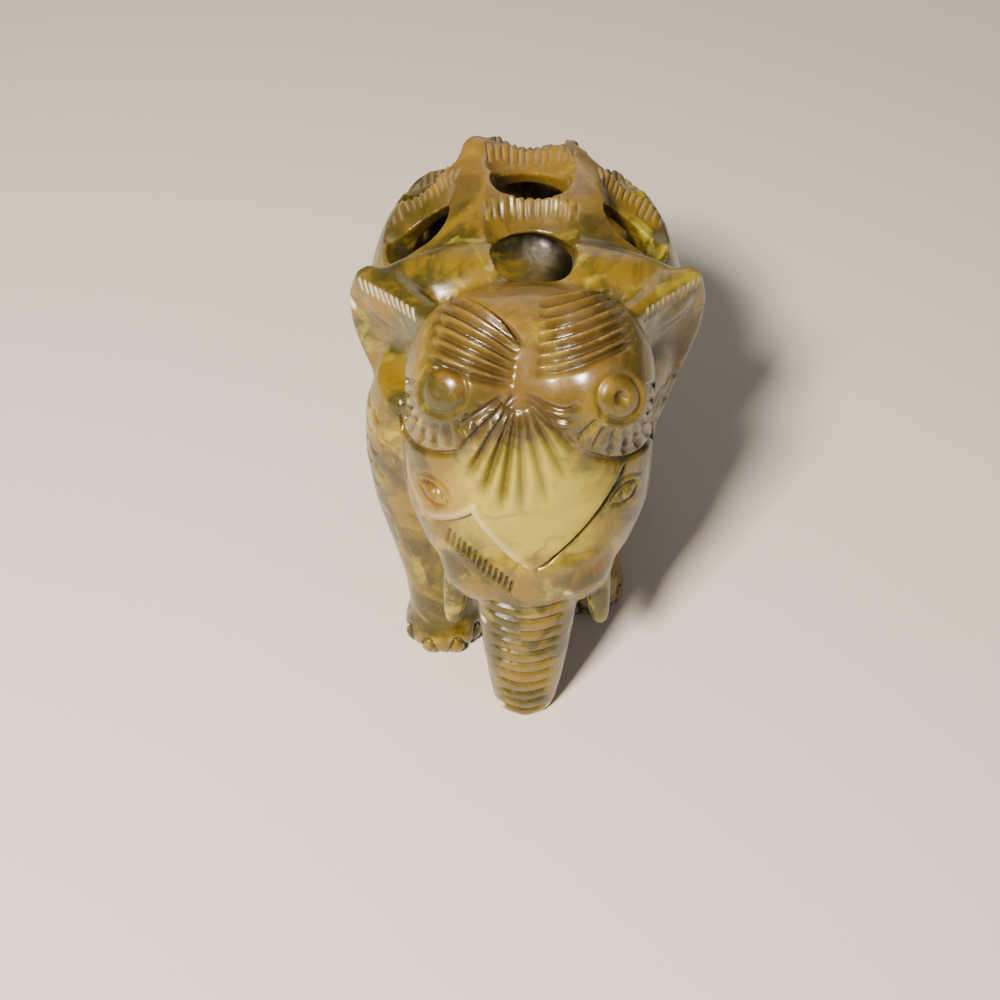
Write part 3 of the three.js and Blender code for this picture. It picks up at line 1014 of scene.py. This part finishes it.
class ELEPHANT_OT_trim(bpy.types.Operator):
    """Cut the tusks and tail, and dress the whole surface"""

    bl_idname = "elephant.trim"
    bl_label = "Tusks and tail"

    def execute(self, context):
        stone = the_stone()
        combine(stone, tail_form(), "UNION")
        for side in (-1, 1):
            combine(stone, tusk_form(side), "UNION")
        reface(stone, context.scene.elephant_sizes.grain / MM)
        apply_modifier(stone, "SMOOTH", factor=0.5, iterations=2)
        refine(stone)
        apply_modifier(stone, "SMOOTH", factor=0.5, iterations=2)
        return {"FINISHED"}


class ELEPHANT_OT_engrave(bpy.types.Operator):
    """Engrave the brow, headpiece, eyes, trunk, ears, scales and feet"""

    bl_idname = "elephant.engrave"
    bl_label = "Engrave"

    def execute(self, context):
        stone = the_stone()
        chisel = Chisel(stone)
        engrave_brow(chisel)
        engrave_eyes(chisel)
        engrave_trunk(chisel)
        engrave_scales(chisel)
        engrave_ears(chisel)
        engrave_shoulders(chisel)
        engrave_feet(chisel)
        chisel.release()
        return {"FINISHED"}


class ELEPHANT_OT_polish(bpy.types.Operator):
    """Thin the mesh, set the stone down in its place, and polish it"""

    bl_idname = "elephant.polish"
    bl_label = "Polish"

    def execute(self, context):
        stone = the_stone()
        faces = sum(len(face.vertices) - 2 for face in stone.data.polygons)
        most = context.scene.elephant_sizes.most_faces
        apply_modifier(stone, "TRIANGULATE")
        apply_modifier(stone, "DECIMATE", ratio=min(1.0, most / faces))
        edge_mask(stone.data)
        low = Vector(np.array([v.co for v in stone.data.vertices]).min(axis=0))
        set_down = Matrix.Translation((0, NOSE - low.y, -low.z))
        stone.data.transform(Matrix.Scale(MM, 4) @ set_down)
        pick(stone)
        bpy.ops.object.shade_smooth_by_angle(angle=math.radians(40))
        stone.data.materials.clear()
        stone.data.materials.append(soapstone())
        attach(stone, "root")
        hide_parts(NODE)
        return {"FINISHED"}


def lamp(name, place, size, power, colour):
    deselect()
    bpy.ops.object.light_add(type="AREA", location=place)
    obj = bpy.context.object
    obj.name = name
    obj.data.size = size
    obj.data.energy = power
    obj.data.color = colour
    obj.rotation_euler = (Vector(LAMP_AIM) - Vector(place)).to_track_quat("-Z", "Y").to_euler()


class ELEPHANT_OT_stage(bpy.types.Operator):
    """Set the floor, the lamps and the camera"""

    bl_idname = "elephant.stage"
    bl_label = "Stage"

    def execute(self, context):
        deselect()
        bpy.ops.mesh.primitive_plane_add(size=4, location=(0, 0, 0))
        floor = context.object
        floor.name = "floor"
        paint = bpy.data.materials.new("Pale Floor")
        paint.use_nodes = True
        shader = paint.node_tree.nodes["Principled BSDF"]
        shader.inputs["Base Color"].default_value = tuple(context.scene.elephant_colours.floor)
        shader.inputs["Roughness"].default_value = 0.8
        floor.data.materials.append(paint)

        world = bpy.data.worlds.new("Studio")
        context.scene.world = world
        world.use_nodes = True
        backdrop = world.node_tree.nodes["Background"]
        backdrop.inputs["Color"].default_value = (0.88, 0.80, 0.70, 1)
        backdrop.inputs["Strength"].default_value = 0.17
        for settings in LAMPS:
            lamp(*settings)

        camera = bpy.data.cameras.new("camera")
        camera.sensor_width = 36.0
        camera.lens = CAMERA_LENS
        camera.clip_start = 0.01
        holder = bpy.data.objects.new("camera", camera)
        context.scene.collection.objects.link(holder)
        holder.location = (CAMERA_SIDE, STONE_LOW.y - CAMERA_BACK, CAMERA_UP)
        holder.rotation_euler = (math.radians(CAMERA_TILT), 0.0, 0.0)
        context.scene.camera = holder
        return {"FINISHED"}


STEPS = (
    ELEPHANT_OT_rough,
    ELEPHANT_OT_hollow,
    ELEPHANT_OT_trim,
    ELEPHANT_OT_engrave,
    ELEPHANT_OT_polish,
    ELEPHANT_OT_stage,
)


class ELEPHANT_PT_panel(bpy.types.Panel):
    """Lists the steps in the order that they are done."""

    bl_label = "Stone Elephant"
    bl_idname = "ELEPHANT_PT_panel"
    bl_space_type = "VIEW_3D"
    bl_region_type = "UI"
    bl_category = "Elephant"

    def draw(self, context):
        for group in (context.scene.elephant_sizes, context.scene.elephant_colours):
            for name in group.bl_rna.properties.keys():
                if name not in ("rna_type", "name"):
                    self.layout.prop(group, name)
        for step in STEPS:
            self.layout.operator(step.bl_idname)


CLASSES = (ElephantSizes, ElephantColours, *STEPS, ELEPHANT_PT_panel)


def register():
    for cls in CLASSES:
        bpy.utils.register_class(cls)
    bpy.types.Scene.elephant_sizes = bpy.props.PointerProperty(type=ElephantSizes)
    bpy.types.Scene.elephant_colours = bpy.props.PointerProperty(type=ElephantColours)


def unregister():
    del bpy.types.Scene.elephant_colours
    del bpy.types.Scene.elephant_sizes
    for cls in reversed(CLASSES):
        bpy.utils.unregister_class(cls)


def main():
    register()
    bpy.ops.elephant.rough()
    bpy.ops.elephant.hollow()
    bpy.ops.elephant.trim()
    bpy.ops.elephant.engrave()
    bpy.ops.elephant.polish()
    bpy.ops.elephant.stage()


if __name__ == "__main__":
    main()
